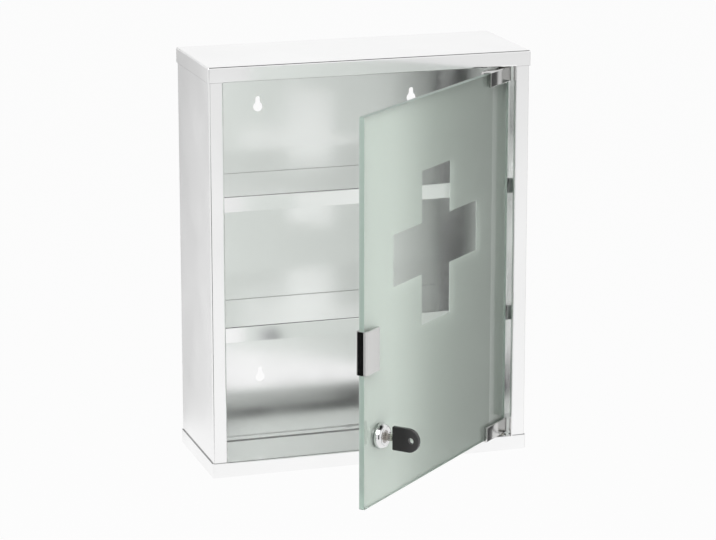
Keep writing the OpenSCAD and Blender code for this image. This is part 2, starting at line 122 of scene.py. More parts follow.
class CabinetSizes(bpy.types.PropertyGroup):
    sheet: size("Sheet", "Thickness of the steel sheet", 1.0 * MM)
    bend: size("Bend", "Outer radius of the bends in the sheet", 1.6 * MM)
    frame_face: size("Frame face", "Width of the stiles and height of the rails", 15 * MM)
    frame_return: size("Frame return", "Depth of the lips behind the stiles and rails", 16 * MM)
    weld_tab: size("Weld tab", "Depth of the tabs that join the back to the caps", 12 * MM)
    shelf_side: size("Shelf sides", "Height of the shelves' side and rear flanges", 10 * MM)
    entry: size("Keyhole entry", "Radius of a keyhole's round entry", 4.75 * MM)
    slot: size("Keyhole slot", "Half the width of a keyhole's slot", 2.4 * MM)
    hang_rise: size("Keyhole rise", "Height from a keyhole's entry to its hanging point", 8 * MM)
    keyhole_x: size("Keyhole spacing", "Half the distance between left and right keyholes", 79 * MM)
    upper_hang: size("Upper hang", "Height of the upper hanging points over the middle", 145 * MM)
    lower_hang: size("Lower hang", "Depth of the lower hanging points under the middle", 130 * MM)
    glass_arris: size("Glass arris", "Width of the ground chamfer round the glass", 0.5 * MM)
    cross_width: size("Cross width", "Width of the clear cross", 164 * MM)
    cross_height: size("Cross height", "Height of the clear cross", 147 * MM)
    cross_upright: size("Cross upright", "Width of the cross's upright bar", 55 * MM)
    cross_level: size("Cross level", "Height of the cross's level bar", 49 * MM)
    cross_left: size("Cross left", "Distance of the cross to the left of the middle", 2 * MM)
    cross_rise: size("Cross rise", "Height of the cross's centre above the middle", 39 * MM)
    edge: size("Edge", "Rounding of the small metal parts' edges", 0.25 * MM)


class CabinetColours(bpy.types.PropertyGroup):
    steel: colour("Steel", "Polished stainless sheet", (0.945, 0.945, 0.945))
    # Real sheared edges, darker and rougher than the faces, and also a painted shadow line along
    # the caps' seams.
    cut_edge_and_seam_shade: colour("Cut edge", "Sheared edges of the sheet", (0.42, 0.42, 0.42))
    satin: colour("Satin metal", "Clamps and handle", (0.64, 0.64, 0.63))
    chrome: colour("Chrome", "Lock collar and plug", (0.78, 0.78, 0.78))
    plug: colour("Plug", "Nickel on the lock's plug", (0.50, 0.48, 0.46))
    zinc: colour("Zinc plate", "Nut, washers, cam, pins and screws", (0.62, 0.63, 0.64))
    nickel: colour("Nickel plate", "Key blade", (0.72, 0.70, 0.65))
    brass: colour("Brass", "Wafers", (0.72, 0.52, 0.22))
    glass: colour("Glass", "Tint of the glass", (0.935, 0.965, 0.94))
    glass_edge: colour("Glass edge", "Tint of the ground glass edges", (0.58, 0.72, 0.64))
    film: colour("Film", "Frosted film", (0.84, 0.84, 0.83))
    key: colour("Key head", "Moulded plastic", (0.006, 0.006, 0.0065))
    liner: colour("Liner", "Liners and gasket", (0.05, 0.05, 0.05))
    bumper: colour("Bumper", "Bumpers", (0.66, 0.67, 0.66))
    nylon: colour("Nylon", "Bushes", (0.80, 0.78, 0.70))


def sizes():
    return bpy.context.scene.cabinet_sizes


def colours():
    return bpy.context.scene.cabinet_colours


# ---------- materials ----------


class Tree:
    """A node tree, with short ways to add what a finish or a lamp needs."""

    def __init__(self, tree):
        self.tree = tree

    def node(self, kind, **values):
        added = self.tree.nodes.new(kind)
        for key, value in values.items():
            setattr(added, key, value)
        return added

    def link(self, output, socket):
        self.tree.links.new(output, socket)

    def give(self, socket, given):
        """Links a socket to an output, or sets it to a number or a colour."""
        if isinstance(given, bpy.types.NodeSocket):
            self.link(given, socket)
        else:
            socket.default_value = given

    def spread(self, value, start, end, low, high):
        """A number that goes from low to high as value goes from start to end."""
        ramp = self.node("ShaderNodeMapRange")
        for name, given in (
            ("From Min", start), ("From Max", end), ("To Min", low), ("To Max", high),
            ("Value", value),
        ):
            self.give(ramp.inputs[name], given)
        return ramp.outputs["Result"]

    def arithmetic(self, operation, first, second):
        step = self.node("ShaderNodeMath", operation=operation)
        self.give(step.inputs[0], first)
        self.give(step.inputs[1], second)
        return step.outputs[0]

    def mix_colours(self, fac, first, second):
        """first where fac is 0 and second where it is 1; each is a colour or an output."""
        mix = self.node("ShaderNodeMix", data_type="RGBA")
        self.link(fac, mix.inputs["Factor"])
        self.give(mix.inputs["A"], first)
        self.give(mix.inputs["B"], second)
        return mix.outputs["Result"]

    def plain_white(self):
        """1 for rays from the camera, off metal and through glass that met nothing matt."""
        path = self.node("ShaderNodeLightPath").outputs
        seen = self.arithmetic("MAXIMUM", path["Is Camera Ray"], path["Is Glossy Ray"])
        seen = self.arithmetic("MAXIMUM", seen, path["Is Transmission Ray"])
        unspread = self.arithmetic("LESS_THAN", path["Diffuse Depth"], 0.5)
        return self.arithmetic("MULTIPLY", seen, unspread), path["Is Glossy Ray"]


class Surface(Tree):
    """A material round its Principled shader."""

    def __init__(self, name):
        self.material = bpy.data.materials.new(name)
        self.material.use_nodes = True
        super().__init__(self.material.node_tree)
        self.shader = self.tree.nodes["Principled BSDF"]
        self.bumps = None

    def set(self, **values):
        for key, value in values.items():
            name = key.replace("_", " ")
            self.shader.inputs[name].default_value = (
                (*value, 1) if hasattr(value, "__len__") and len(value) == 3 else value
            )
        return self

    def noise(self, scale, stretch=(1, 1, 1), detail=3, turn=0.0):
        """Noise on Object coordinates, stretched along the axes after a turn about Z."""
        where = self.node("ShaderNodeTexCoord").outputs["Object"]
        if turn:
            spin = self.node("ShaderNodeMapping")
            spin.inputs["Rotation"].default_value = (0, 0, turn)
            self.link(where, spin.inputs["Vector"])
            where = spin.outputs["Vector"]
        mapping = self.node("ShaderNodeMapping")
        mapping.inputs["Scale"].default_value = stretch
        self.link(where, mapping.inputs["Vector"])
        noise = self.node("ShaderNodeTexNoise")
        noise.inputs["Scale"].default_value = scale
        noise.inputs["Detail"].default_value = detail
        self.link(mapping.outputs["Vector"], noise.inputs["Vector"])
        return noise.outputs["Fac"]

    def roughen(self, fac, low, high):
        """Drives the roughness from low to high by the middle of fac's range."""
        self.link(self.spread(fac, 0.3, 0.7, low, high), self.shader.inputs["Roughness"])

    def tint(self, fac, rgb, low, high):
        """Drives the base colour from low to high times rgb by the middle of fac's range."""
        ramp = self.node("ShaderNodeValToRGB")
        for stop, position, factor in zip(ramp.color_ramp.elements, (0.3, 0.7), (low, high)):
            stop.position = position
            stop.color = (*(min(1.0, c * factor) for c in rgb), 1)
        self.link(fac, ramp.inputs["Fac"])
        self.link(ramp.outputs["Color"], self.shader.inputs["Base Color"])

    def bump(self, fac, height, strength=1.0):
        """Adds relief of this height, in metres, over any added before."""
        bump = self.node("ShaderNodeBump")
        bump.inputs["Strength"].default_value = strength
        bump.inputs["Distance"].default_value = height
        self.link(fac, bump.inputs["Height"])
        if self.bumps:
            self.link(self.bumps, bump.inputs["Normal"])
        self.bumps = bump.outputs["Normal"]
        self.link(self.bumps, self.shader.inputs["Normal"])

    def show(self, shader):
        self.link(shader, self.tree.nodes["Material Output"].inputs["Surface"])

    def mix_in(self, fac, second):
        """Shows the Principled shader where fac is 0 and second where it is 1."""
        mix = self.node("ShaderNodeMixShader")
        self.give(mix.inputs["Fac"], fac)
        self.link(self.shader.outputs["BSDF"], mix.inputs[1])
        self.link(second, mix.inputs[2])
        self.show(mix.outputs["Shader"])


def made(name, maker, *details, **more):
    """The material of this name, made the first time it is asked for."""
    return bpy.data.materials.get(name) or maker(name, *details, **more)


def grain(along, fine, coarse):
    """Noise scales for a grain that runs along one axis."""
    return [coarse if axis == along else fine for axis in "XYZ"]


def polished_steel(name, along):
    """Bright rolled stainless: a mirror with a faint grain along one axis and a slight wave."""
    surface = Surface(name).set(Metallic=1.0)
    surface.tint(surface.noise(9.0, detail=2), colours().steel, 0.97, 1.02)
    surface.roughen(surface.noise(14.0, detail=3), 0.13, 0.2)
    surface.bump(surface.noise(9.0, detail=1), 600 * MICRON, 0.5)
    surface.bump(surface.noise(1.0, grain(along, 2600, 14), detail=4), 0.6 * MICRON)
    return surface.material


def metal(name, rgb, shades, rough, relief=0.0, **texture):
    """Plate or bare metal; one texture drives its shade, its roughness and its relief."""
    surface = Surface(name).set(Metallic=1.0)
    mottle = surface.noise(**{"scale": 1.0, "detail": 4, **texture})
    surface.tint(mottle, rgb, *shades)
    surface.roughen(mottle, *rough)
    if relief:
        surface.bump(mottle, relief)
    return surface.material


def moulded(name, rgb, roughness, grit_scale, grit_height, gloss=0.5):
    """Moulded plastic or rubber with its own fine texture."""
    surface = Surface(name).set(Specular_IOR_Level=gloss)
    grit = surface.noise(grit_scale, detail=4)
    surface.tint(grit, rgb, 0.93, 1.07)
    surface.roughen(grit, roughness * 0.85, roughness * 1.15)
    surface.bump(grit, grit_height)
    return surface.material


def clear_glass(name):
    """Float glass. Rays from lamps pass straight through, and light what is behind it."""
    tint = colours().glass
    surface = Surface(name).set(
        Base_Color=tint, Transmission_Weight=1.0, Roughness=0.0, IOR=1.5
    )
    clear = surface.node("ShaderNodeBsdfTransparent")
    clear.inputs["Color"].default_value = (*tint, 1)
    path = surface.node("ShaderNodeLightPath")
    surface.mix_in(path.outputs["Is Shadow Ray"], clear.outputs["BSDF"])
    return surface.material


def ground_edge(name):
    """The glass's ground edge, green from the glass's own depth."""
    surface = Surface(name).set(Transmission_Weight=0.55, IOR=1.5)
    grit = surface.noise(1400.0, detail=4)
    surface.tint(grit, colours().glass_edge, 0.95, 1.06)
    surface.roughen(grit, 0.3, 0.42)
    surface.bump(grit, 10 * MICRON)
    return surface.material


def frosted(name):
    """Etch-look film: a fine even frost that glows with the light behind it."""
    surface = Surface(name).set(Transmission_Weight=0.45, IOR=1.45)
    rgb = colours().film
    frost = surface.noise(2600.0, detail=3)
    surface.tint(frost, rgb, 0.98, 1.02)
    surface.roughen(frost, 0.5, 0.6)
    surface.bump(frost, 12 * MICRON, 0.6)
    glow = surface.node("ShaderNodeBsdfTranslucent")
    glow.inputs["Color"].default_value = (*rgb, 1)
    surface.mix_in(0.58, glow.outputs["BSDF"])
    return surface.material


def sheet_steel(axis):
    """The sheet's faces, with their grain along an axis, and its rougher, darker sheared edges; the
    edge material also gives the caps' seams a painted shadow line.
    """
    return (
        made(f"polished_steel_{axis.lower()}", polished_steel, axis),
        made(
            "sheared_edge", metal, colours().cut_edge_and_seam_shade, (0.85, 1.1), (0.4, 0.55), 12 * MICRON,
            scale=1800.0,
        ),
    )


def satin_metal(name, along):
    """Satin nickel plate on the door, brushed along one axis."""
    return made(
        name, metal, colours().satin, (0.95, 1.05), (0.09, 0.15), 1.0 * MICRON,
        stretch=grain(along, 4500, 60), turn=-DOOR_ANGLE,
    )


def zinc_plate():
    return made(
        "zinc_plate", metal, colours().zinc, (0.85, 1.1), (0.25, 0.42), 8 * MICRON,
        scale=700.0, detail=5,
    )


def liner_sheet():
    return made("liner_sheet", moulded, colours().liner, 0.7, 1500.0, 15 * MICRON)


def paint(obj, *materials):
    obj.data.materials.clear()
    for material in materials:
        obj.data.materials.append(material)


# ---------- modelling ----------


def start():
    if bpy.context.object and bpy.context.object.mode != "OBJECT":
        bpy.ops.object.mode_set(mode="OBJECT")
    bpy.ops.object.select_all(action="DESELECT")


def choose(obj):
    start()
    bpy.context.view_layer.objects.active = obj
    obj.select_set(True)


def edit(obj):
    choose(obj)
    bpy.ops.object.mode_set(mode="EDIT")


def done():
    bpy.ops.object.mode_set(mode="OBJECT")


def settle():
    """Puts the active object's place, turn and size into its mesh."""
    bpy.ops.object.transform_apply(location=True, rotation=True, scale=True)


def put(obj, place):
    """Moves a finished shape to its place, with the object left at the origin."""
    obj.matrix_world = place @ obj.matrix_world
    choose(obj)
    settle()
    return obj


def pick(obj, kind, test):
    """In edit mode, selects the vertices, edges or faces that pass test.

    test is given the place of a vertex, or the middle and direction of an edge or a face."""
    bpy.ops.mesh.select_mode(type=kind)
    bpy.ops.mesh.select_all(action="DESELECT")
    mesh = bmesh.from_edit_mesh(obj.data)
    if kind == "FACE":
        chosen = [f for f in mesh.faces if test(f.calc_center_median(), f.normal)]
    elif kind == "EDGE":
        ends = [(e, *(v.co for v in e.verts)) for e in mesh.edges]
        chosen = [e for e, a, b in ends if test((a + b) / 2, (b - a).normalized())]
    else:
        chosen = [v for v in mesh.verts if test(v.co)]
    for part in chosen:
        part.select = True
    mesh.select_flush_mode()
    bmesh.update_edit_mesh(obj.data)
    if not chosen:
        raise RuntimeError(f"nothing to select on {obj.name}")


def near(a, b, slack=0.02 * MM):
    return abs(a - b) < slack


def block(name, low, high):
    """A block between two corners."""
    low, high = Vector(low), Vector(high)
    start()
    bpy.ops.mesh.primitive_cube_add(size=1, location=(low + high) / 2)
    obj = bpy.context.object
    obj.name = name
    obj.scale = high - low
    settle()
    return obj


def round_edges(obj, test, radius, segments=4):
    edit(obj)
    pick(obj, "EDGE", test)
    bpy.ops.mesh.bevel(offset=radius, segments=segments, profile=0.5, affect="EDGES")
    done()


def rod(name, radius, low, high, axis="Z", at=(0, 0), sides=48):
    """A closed cylinder along an axis, from low to high, at its place on the other two axes."""
    middle = (low + high) / 2
    place = {"X": (middle, *at), "Y": (at[0], middle, at[1]), "Z": (*at, middle)}[axis]
    turn = {"X": (0, QUARTER, 0), "Y": (QUARTER, 0, 0), "Z": (0, 0, 0)}[axis]
    start()
    bpy.ops.mesh.primitive_cylinder_add(
        vertices=sides, radius=radius, depth=high - low, location=place, rotation=turn
    )
    obj = bpy.context.object
    obj.name = name
    settle()
    return obj


def modify(obj, kind, **values):
    """Adds a modifier, sets it and applies it."""
    modifier = obj.modifiers.new(kind.lower(), kind)
    for key, value in values.items():
        setattr(modifier, key, value)
    choose(obj)
    bpy.ops.object.modifier_apply(modifier=modifier.name)


def cut(obj, *cutters):
    """Takes each cutter's shape out of obj."""
    for cutter in cutters:
        modify(obj, "BOOLEAN", operation="DIFFERENCE", solver="EXACT", object=cutter)
        bpy.data.objects.remove(cutter)


def join(obj, *others):
    choose(obj)
    for other in others:
        other.select_set(True)
    bpy.ops.object.join()
    return obj


def soften(obj, width, segments=2, angle=35):
    """Breaks the sharp edges and smooths the shading across them."""
    modify(
        obj, "BEVEL", width=width, segments=segments, limit_method="ANGLE",
        angle_limit=math.radians(angle), use_clamp_overlap=True,
    )
    smooth(obj)


def smooth(obj, angle=32):
    """Smooths the shading across bends, and keeps flat faces flat."""
    choose(obj)
    bpy.ops.object.shade_smooth_by_angle(angle=math.radians(angle))
    modify(obj, "WEIGHTED_NORMAL", weight=100, keep_sharp=True)


def clean(obj):
    """Merges doubles and turns every face outwards."""
    edit(obj)
    bpy.ops.mesh.select_all(action="SELECT")
    bpy.ops.mesh.remove_doubles(threshold=2 * MICRON)
    bpy.ops.mesh.normals_make_consistent(inside=False)
    done()


def lathe(name, profile, steps=72):
    """A turned shape about Z. profile is a closed round of (radius, height), or runs from
    axis to axis."""
    closed = profile[0][0] > 0 and profile[-1][0] > 0
    rings = [p for p in profile if p[0] > 0]
    start()
    bpy.ops.mesh.primitive_circle_add(
        vertices=steps, radius=rings[0][0], location=(0, 0, rings[0][1]), fill_type="NOTHING"
    )
    obj = bpy.context.object
    obj.name = name
    settle()
    edit(obj)
    if not closed:
        bpy.ops.mesh.select_all(action="SELECT")
        bpy.ops.mesh.edge_face_add()
    bpy.ops.mesh.select_mode(type="EDGE")
    bpy.ops.mesh.select_all(action="SELECT")
    if not closed:
        bpy.ops.mesh.region_to_loop()
    last = rings[0]
    for radius, height in rings[1:] + (rings[:1] if closed else []):
        bpy.ops.mesh.extrude_edges_move(
            TRANSFORM_OT_translate={"value": (0, 0, height - last[1])}
        )
        scale = radius / last[0]
        bpy.ops.transform.resize(value=(scale, scale, 1))
        last = (radius, height)
    if not closed:
        bpy.ops.mesh.edge_face_add()
    done()
    clean(obj)
    smooth(obj)
    return obj


def folded(name, path, low, high, axis, radius, sheet, metal):
    """A sheet folded along a path of right angles, running from low to high along axis.

    path is given on the two other axes, through the middle of the sheet."""
    order = {"X": (1, 2), "Y": (0, 2), "Z": (0, 1)}[axis]
    run = "XYZ".index(axis)

    def point(p, along):
        values = [0.0, 0.0, 0.0]
        values[order[0]], values[order[1]], values[run] = p[0], p[1], along
        return Vector(values)

    start()
    bpy.ops.mesh.primitive_plane_add(size=1)
    obj = bpy.context.object
    obj.name = name
    first, second = point(path[0], 0), point(path[1], 0)
    length = Vector((0, 0, 0))
    length[run] = high - low
    across = second - first
    normal = across.cross(length).normalized()
    middle = (first + second) / 2
    middle[run] = (low + high) / 2
    turn = Matrix((across, length, normal)).transposed().to_4x4()
    obj.matrix_world = Matrix.Translation(middle) @ turn
    settle()
    edit(obj)

    def on_fold(c, d, p):
        """Whether an edge runs along a fold at p."""
        return (
            near(c[order[0]], p[0]) and near(c[order[1]], p[1]) and near(abs(d[run]), 1, 0.01)
        )

    for here, there in zip(path[1:], path[2:]):
        pick(obj, "EDGE", lambda c, d: on_fold(c, d, here))
        bpy.ops.mesh.extrude_edges_move(
            TRANSFORM_OT_translate={"value": point(there, 0) - point(here, 0)}
        )
    folds = path[1:-1]
    if folds:
        pick(obj, "EDGE", lambda c, d: any(on_fold(c, d, fold) for fold in folds))
        bpy.ops.mesh.bevel(offset=radius, segments=6, profile=0.5, affect="EDGES")
    done()
    clean(obj)
    paint(obj, *metal)
    modify(
        obj, "SOLIDIFY", thickness=sheet, offset=0.0, use_even_offset=True, material_offset_rim=1
    )
    smooth(obj)
    return obj


def copy_of(obj, name):
    """A copy with its own mesh."""
    twin = obj.copy()
    twin.data = obj.data.copy()
    twin.name = name
    bpy.context.scene.collection.objects.link(twin)
    return twin


def flip_z(obj):
    """Turns a shape upside down by mirroring it in the level plane."""
    obj.matrix_world = Matrix.Diagonal((1, 1, -1, 1)) @ obj.matrix_world
    choose(obj)
    settle()
    clean(obj)
    return obj


def finish(obj, name, body, slot, *nodes):
    """Names a finished piece, sets what it rides on and hides the nodes it stands for; slot is not
    used.
    """
    obj.name = name
    obj.data.name = name
    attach(obj, body)
    if nodes:
        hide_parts(*nodes)
    return obj


def mount(obj, material, place, name, body, slot, *nodes):
    """Paints a shape, moves it to its place and finishes it."""
    paint(obj, material)
    put(obj, place)
    finish(obj, name, body, slot, *nodes)


class Step(bpy.types.Operator):
    """One step of building the cabinet"""

    bl_options = {"REGISTER", "UNDO"}

    def execute(self, context):
        self.build()
        return {"FINISHED"}


# ---------- cabinet ----------


def keyhole_cutters(x, z):
    """The shapes that cut one keyhole through the back; z is its hanging point."""
    s = sizes()
    deep, shallow = -3 * s.sheet, 2 * s.sheet
    entry = rod("entry", s.entry, deep, shallow, "Y", (x, z - s.hang_rise))
    top = rod("top", s.slot, deep, shallow, "Y", (x, z))
    slot = block("slot", (x - s.slot, deep, z - s.hang_rise), (x + s.slot, shallow, z))
    throat = math.radians(50)  # where the taper meets the entry, up from its middle's level
    flank = s.entry * math.cos(throat) - s.slot
    shoulder = z - s.hang_rise + s.entry * math.sin(throat)
    taper = block("taper", (x - s.slot, deep, shoulder), (x + s.slot, shallow, z - s.slot))
    edit(taper)
    pick(taper, "VERT", lambda p: near(p.z, shoulder))
    bpy.ops.transform.resize(value=((s.slot + flank) / s.slot, 1, 1))
    done()
    return entry, top, slot, taper


class CABINET_OT_wrap(Step):
    """Folds the stiles, sides and back from one sheet, with the keyholes and the tabs"""

    bl_idname = "cabinet.wrap"
    bl_label = "Wrap"

    def build(self):
        s = sizes()
        low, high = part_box("body_shell")
        cap_low, cap_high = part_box("top_cap")
        half = s.sheet / 2
        front = low.y + half
        lip_x = cap_high.x - s.frame_face + half
        side_x = high.x - half
        lip_end = cap_low.y + s.frame_return
        end = cap_high.z - s.sheet - (s.bend - s.sheet)
        fold = s.bend - half
        left = [(-lip_x, lip_end), (-lip_x, front), (-side_x, front), (-side_x, -half)]
        right = [(-x, y) for x, y in reversed(left)]
        wrap = folded("wrap", left + right, -end, end, "Z", fold, s.sheet, sheet_steel("Z"))
        for side in (-1, 1):
            tab_z = side * (cap_high.z - 1.5 * s.sheet)
            tab = folded(
                "tab", [(-s.weld_tab, tab_z), (-half, tab_z), (-half, side * (end - s.bend))],
                -(lip_x - half), lip_x - half, "X", fold, s.sheet, sheet_steel("Z"),
            )
            join(wrap, tab)
        cutters = []
        for x in (-s.keyhole_x, s.keyhole_x):
            for z in (s.upper_hang, -s.lower_hang):
                cutters += keyhole_cutters(x, z)
        cut(wrap, *cutters)
        smooth(wrap)
        finish(wrap, "Folded_wrap", "cabinet", "cabinet_steel", "body_shell")


class CABINET_OT_caps(Step):
    """Folds the top and bottom caps, each with its rail and its bush hole"""

    bl_idname = "cabinet.caps"
    bl_label = "Caps"

    def build(self):
        s = sizes()
        low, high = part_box("top_cap")
        gap = 0.2 * s.sheet
        lip_x = high.x - s.frame_face - gap
        cap = block("cap", low, high)
        edit(cap)
        pick(cap, "FACE", lambda c, n: n.z < -0.5 or n.y > 0.5)
        bpy.ops.mesh.delete(type="FACE")
        for side in (-1, 1):
            bpy.ops.mesh.select_all(action="SELECT")
            bpy.ops.mesh.bisect(plane_co=(side * lip_x, 0, 0), plane_no=(1, 0, 0))
        pick(
            cap, "EDGE",
            lambda c, d: near(c.y, low.y) and near(c.z, low.z) and abs(c.x) < lip_x,
        )
        bpy.ops.mesh.extrude_edges_move(
            TRANSFORM_OT_translate={"value": (0, s.frame_return, 0)}
        )
        pick(
            cap, "EDGE",
            lambda c, d: (
                near(c.z, high.z) and (near(c.y, low.y) or near(abs(c.x), high.x))
                or near(c.y, low.y) and near(abs(c.x), high.x)
                or near(c.y, low.y) and near(c.z, low.z) and abs(c.x) < lip_x
            ),
        )
        bpy.ops.mesh.bevel(offset=s.bend, segments=6, profile=0.5, affect="EDGES")
        done()
        clean(cap)
        edit(cap)
        pick(cap, "FACE", lambda c, n: near(c.z, high.z) and abs(n.z) > 0.9)
        mesh = bmesh.from_edit_mesh(cap.data)
        if any(f.select and f.normal.z < 0 for f in mesh.faces):
            bpy.ops.mesh.select_all(action="SELECT")
            bpy.ops.mesh.flip_normals()
        done()
        paint(cap, *sheet_steel("X"))
        modify(
            cap, "SOLIDIFY", thickness=s.sheet, offset=-1.0, use_even_offset=True,
            material_offset_rim=1,
        )
        edit(cap)
        pick(
            cap, "EDGE",
            lambda c, d: near(c.z, low.z) and (near(c.y, low.y) or near(abs(c.x), high.x)),
        )
        # The caps' lower outer edges get a band of the dark edge material: a painted shadow line
        # that draws the seam where each cap laps over the wrap.
        seam_shade_band = 0.4 * s.sheet
        bpy.ops.mesh.bevel(offset=seam_shade_band, segments=2, affect="EDGES", material=1)
        done()
        bush_low, bush_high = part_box("upper_pivot_bush")
        hole_share = 0.81  # of the bush's flange
        radius = (bush_high.x - bush_low.x) / 2 * hole_share
        hole = rod(
            "hole", radius, low.z - s.sheet, low.z + 3 * s.sheet, at=(PIVOT.x, PIVOT.y)
        )
        cut(cap, hole)
        smooth(cap)
        bottom = flip_z(copy_of(cap, "bottom"))
        smooth(bottom)
        for obj, name, node in ((cap, "Top_cap", "top_cap"), (bottom, "Bottom_cap", "bottom_cap")):
            finish(obj, name, "cabinet", "cabinet_steel", node)


class CABINET_OT_shelves(Step):
    """Folds the shelves as trays with their flanges down"""

    bl_idname = "cabinet.shelves"
    bl_label = "Shelves"

    def build(self):
        s = sizes()
        for node, name in (("upper_shelf", "Upper_shelf"), ("lower_shelf", "Lower_shelf")):
            low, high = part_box(node)
            shelf = block("shelf", low, high)
            edit(shelf)
            pick(shelf, "FACE", lambda c, n: n.z < -0.5)
            bpy.ops.mesh.delete(type="FACE")
            pick(shelf, "EDGE", lambda c, d: not near(c.z, low.z))
            bpy.ops.mesh.bevel(offset=s.bend, segments=6, profile=0.5, affect="EDGES")
            done()
            paint(shelf, *sheet_steel("X"))
            modify(
                shelf, "SOLIDIFY", thickness=s.sheet, offset=-1.0, use_even_offset=True,
                material_offset_rim=1,
            )
            under = block(
                "under",
                (low.x - s.sheet, low.y + s.sheet, low.z - s.sheet),
                (high.x + s.sheet, high.y + s.sheet, high.z - s.shelf_side),
            )
            cut(shelf, under)
            smooth(shelf)
            finish(shelf, name, "cabinet", "cabinet_steel", node)


class CABINET_OT_bushes(Step):
    """Turns the flanged nylon bushes that carry the door's pivots"""

    bl_idname = "cabinet.bushes"
    bl_label = "Pivot bushes"

    def build(self):
        low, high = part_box("upper_pivot_bush")
        pin_low, pin_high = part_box("upper_pivot_pin")
        flange = (high.x - low.x) / 2
        bore = (pin_high.x - pin_low.x) / 2 + 0.05 * MM
        sleeve = 4 * MM
        face = low.z + 0.7 * MM
        edge = 0.2 * MM
        bush = lathe("bush", [
            (bore, low.z + edge), (bore + edge, low.z), (flange - edge, low.z),
            (flange, low.z + edge), (flange, face), (sleeve, face), (sleeve, high.z - edge),
            (sleeve - edge, high.z), (bore, high.z),
        ])
        put(bush, Matrix.Translation((PIVOT.x, PIVOT.y, 0)))
        lower = flip_z(copy_of(bush, "lower"))
        smooth(lower)
        plastic = made("natural_nylon", moulded, colours().nylon, 0.45, 600.0, 10 * MICRON)
        for obj, name, node in (
            (bush, "Upper_bush", "upper_pivot_bush"), (lower, "Lower_bush", "lower_pivot_bush")
        ):
            paint(obj, plastic)
            finish(obj, name, "cabinet", "nylon", node)


# ---------- door ----------


def lock_hole(low, high):
    """A cutter for the lock's hole, on the closed door."""
    at = ON_DOOR.inverted() @ Vector(LOCK_JOINT["pos_m"])
    radius = 8.3 * MM
    return rod("lock_hole", radius, low, high, "Y", (at.x, at.z), sides=72)


class CABINET_OT_glass(Step):
    """Cuts the glass with rounded corners, ground edges and the hole for the lock"""

    bl_idname = "cabinet.glass"
    bl_label = "Glass"

    def build(self):
        s = sizes()
        low, high = box("door_glass", ON_DOOR)
        glass = block("glass", low, high)
        round_edges(glass, lambda c, d: abs(d.y) > 0.9, 1 * MM, 5)
        cut(glass, lock_hole(low.y - s.sheet, high.y + s.sheet))
        modify(
            glass, "BEVEL", width=s.glass_arris, segments=2, limit_method="ANGLE",
            angle_limit=math.radians(50),
        )
        smooth(glass, 25)
        paint(glass, made("float_glass", clear_glass), made("ground_glass_edge", ground_edge))
        for face in glass.data.polygons:
            face.material_index = 0 if abs(face.normal.y) > 0.98 else 1
        put(glass, ON_DOOR)
        finish(glass, "Door_glass", "door", "clear_glass", "door_glass")


class CABINET_OT_film(Step):
    """Cuts the frosted film with its clear cross"""

    bl_idname = "cabinet.film"
    bl_label = "Frosted film"

    def build(self):
        s = sizes()
        low, high = box("frosted_film", ON_DOOR)
        film = block("film", (low.x, low.y + FIT, low.z), high)
        round_edges(film, lambda c, d: abs(d.y) > 0.9, 1 * MM, 5)
        bars = (
            (s.cross_width / 2, s.cross_level / 2), (s.cross_upright / 2, s.cross_height / 2)
        )
        cutters = [
            block(
                "bar",
                (-s.cross_left - x, low.y - s.sheet, s.cross_rise - z),
                (-s.cross_left + x, high.y + s.sheet, s.cross_rise + z),
            )
            for x, z in bars
        ]
        cut(film, lock_hole(low.y - s.sheet, high.y + s.sheet), *cutters)
        smooth(film)
        film_finish = made("frosted_film", frosted)
        mount(film, film_finish, ON_DOOR, "Frosted_film", "door", "frosted_film", "frosted_film")


class CABINET_OT_bumpers(Step):
    """Moulds the domed bumpers that the door closes on"""

    bl_idname = "cabinet.bumpers"
    bl_label = "Bumpers"

    def build(self):
        low, high = box("door_bumpers", ON_DOOR)
        radius = (high.x - low.x) / 2
        tall = high.y - low.y
        turns = (i * QUARTER / 10 for i in range(10))
        dome = [(radius * math.cos(a), tall * (0.45 + 0.55 * math.sin(a))) for a in turns]
        foot = [(0, 0), (radius * 0.97, 0), (radius, tall * 0.1)]
        shape = lathe("bumper", foot + dome + [(0.3 * MM, tall), (0, tall)], 40)
        rubber = made("bumper_rubber", moulded, colours().bumper, 0.4, 500.0, 8 * MICRON)
        middle_x = (low.x + high.x) / 2
        bumpers = []
        for z in (low.z + radius, high.z - radius):
            bumper = copy_of(shape, "bumper_part")
            put(bumper, Matrix.Translation((middle_x, low.y, z)) @ STAND)
            bumpers.append(bumper)
        bpy.data.objects.remove(shape)
        mount(
            join(*bumpers), rubber, ON_DOOR, "Bumpers", "door", "bumper_rubber", "door_bumpers"
        )


def screw_cutter(x, z, radius, low, high):
    return rod("screw_hole", radius, low, high, "Y", (x, z), sides=40)


